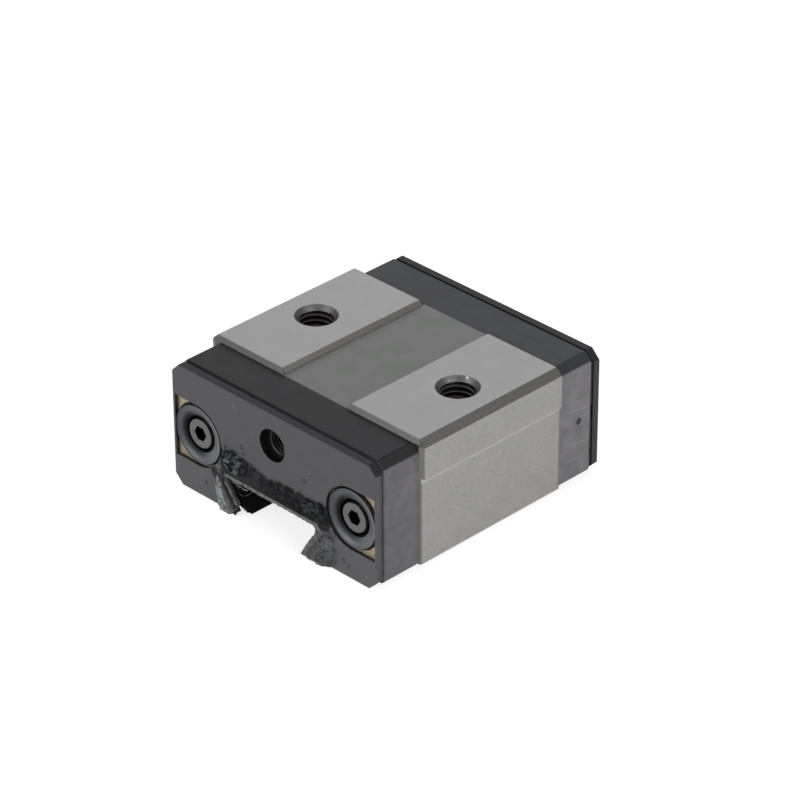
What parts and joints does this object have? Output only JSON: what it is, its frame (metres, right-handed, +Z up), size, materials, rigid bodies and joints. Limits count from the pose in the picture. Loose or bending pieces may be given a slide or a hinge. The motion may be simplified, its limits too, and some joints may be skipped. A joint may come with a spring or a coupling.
{
  "type": "linear guide carriage",
  "caption": "Ball-recirculating linear guide carriage with moulded end caps, rubber end seals and tapped mounting pads, one seal lip torn.",
  "frame": {"origin": "under the middle of the carriage, on the plane that its end caps' feet stand on", "axes": "+Y along the rail, from the torn front seal to the rear, +Z up out of the mounting pads, +X to the right seen from the front"},
  "size_m": [0.06, 0.0652, 0.0296],
  "materials": {
    "ground_steel": "ground, satin",
    "cap_resin": "fine moulded texture",
    "plated_steel": "yellow plated",
    "seal_rubber": "matt",
    "retainer_steel": "satin",
    "retainer_resin": "satin",
    "guide_resin": "satin",
    "collar_steel": "turned",
    "screw_steel": "blackened, worn",
    "ball_steel": "polished"
  },
  "bodies": {
    "root": {"block": "ground_steel", "front_end_cap": "cap_resin", "rear_end_cap": "cap_resin", "front_seal_plate": "plated_steel", "rear_seal_plate": "plated_steel", "front_seal_rubber": "seal_rubber", "rear_seal_rubber": "seal_rubber", "upper_retainer_plate": "retainer_steel", "centre_retainer_right": "retainer_resin", "centre_retainer_left": "retainer_resin", "lower_retainer_right": "retainer_resin", "lower_retainer_left": "retainer_resin", "return_guide_front_right": "guide_resin", "screw_collar_front_right": "collar_steel", "cap_screw_front_right": "screw_steel", "return_guide_front_left": "guide_resin", "screw_collar_front_left": "collar_steel", "cap_screw_front_left": "screw_steel", "return_guide_rear_right": "guide_resin", "screw_collar_rear_right": "collar_steel", "cap_screw_rear_right": "screw_steel", "return_guide_rear_left": "guide_resin", "screw_collar_rear_left": "collar_steel", "cap_screw_rear_left": "screw_steel", "balls_upper_right": "ball_steel", "balls_upper_left": "ball_steel", "balls_lower_right": "ball_steel", "balls_lower_left": "ball_steel"}
  },
  "joints": []
}
